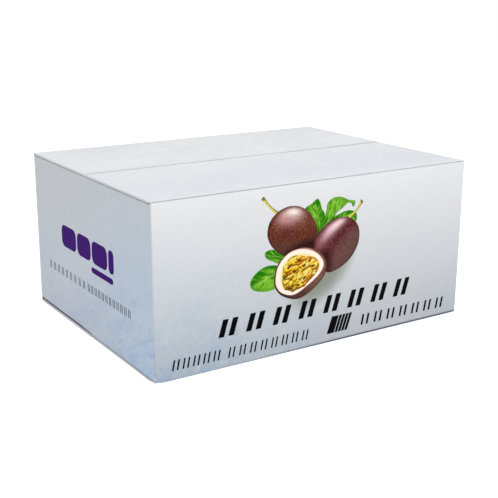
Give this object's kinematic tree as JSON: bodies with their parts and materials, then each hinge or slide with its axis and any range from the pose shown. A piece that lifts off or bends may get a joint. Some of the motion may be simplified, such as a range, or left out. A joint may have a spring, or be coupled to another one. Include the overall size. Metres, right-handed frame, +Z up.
{
  "type": "cardboard shipping carton",
  "caption": "Shut low rectangular shipping carton of white-lined corrugated board, outer flaps meeting in a seam along the middle, with a frosty print of fruit and plain label blocks.",
  "frame": {"origin": "middle of the underside, on the surface that the carton stands on", "axes": "+X along the length of the carton, to the right seen from the front; +Y from the long front wall to the long back wall; +Z up, through the closed outer flaps"},
  "size_m": [0.4, 0.3, 0.182],
  "materials": {
    "printed_board": "satin",
    "flap_board": "satin"
  },
  "bodies": {
    "root": {"carton_body": "printed_board", "top_flap_front": "flap_board", "top_flap_back": "flap_board", "bottom_flap_front": "flap_board", "bottom_flap_back": "flap_board"}
  },
  "joints": []
}
